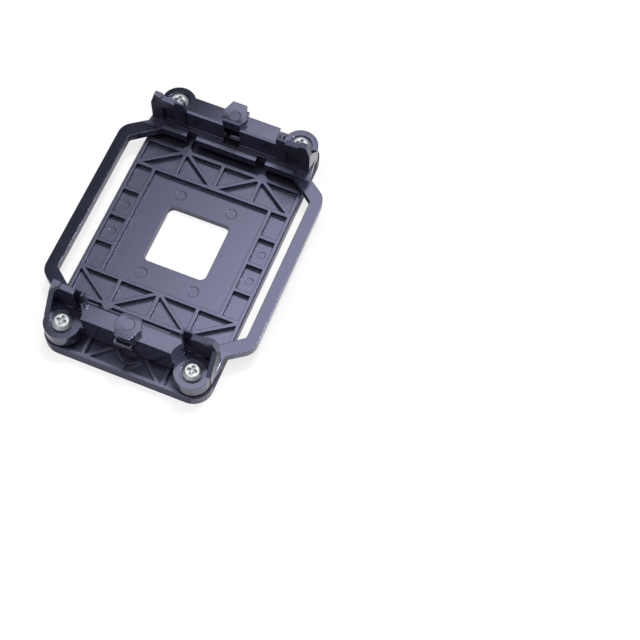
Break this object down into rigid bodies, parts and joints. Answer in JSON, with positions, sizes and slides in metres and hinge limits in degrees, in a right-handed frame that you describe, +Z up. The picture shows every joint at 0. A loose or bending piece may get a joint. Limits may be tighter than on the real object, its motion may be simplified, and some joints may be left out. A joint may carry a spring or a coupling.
{
  "type": "cpu cooler backplate with retention frame",
  "caption": "Ribbed plastic backplate with a square cut-out, screwed to a retention frame whose rails carry clip lugs for a processor cooler.",
  "frame": {"origin": "under the middle of the part, on the backplate's flat underside", "axes": "+Y along the backplate's length, from one clip lug to the other, +X along the rails, +Z up out of the ribbed side"},
  "size_m": [0.0794, 0.11, 0.0247],
  "materials": {
    "black_plastic": "moulded, slightly glossy",
    "zinc_steel": "zinc plated",
    "brass": "turned"
  },
  "bodies": {
    "root": {"backplate": "black_plastic", "retention_frame": "black_plastic", "screw_front_left": "zinc_steel", "screw_front_right": "zinc_steel", "screw_rear_left": "zinc_steel", "screw_rear_right": "zinc_steel", "threaded_insert_front_left": "brass", "threaded_insert_front_right": "brass", "threaded_insert_rear_left": "brass", "threaded_insert_rear_right": "brass"}
  },
  "joints": []
}
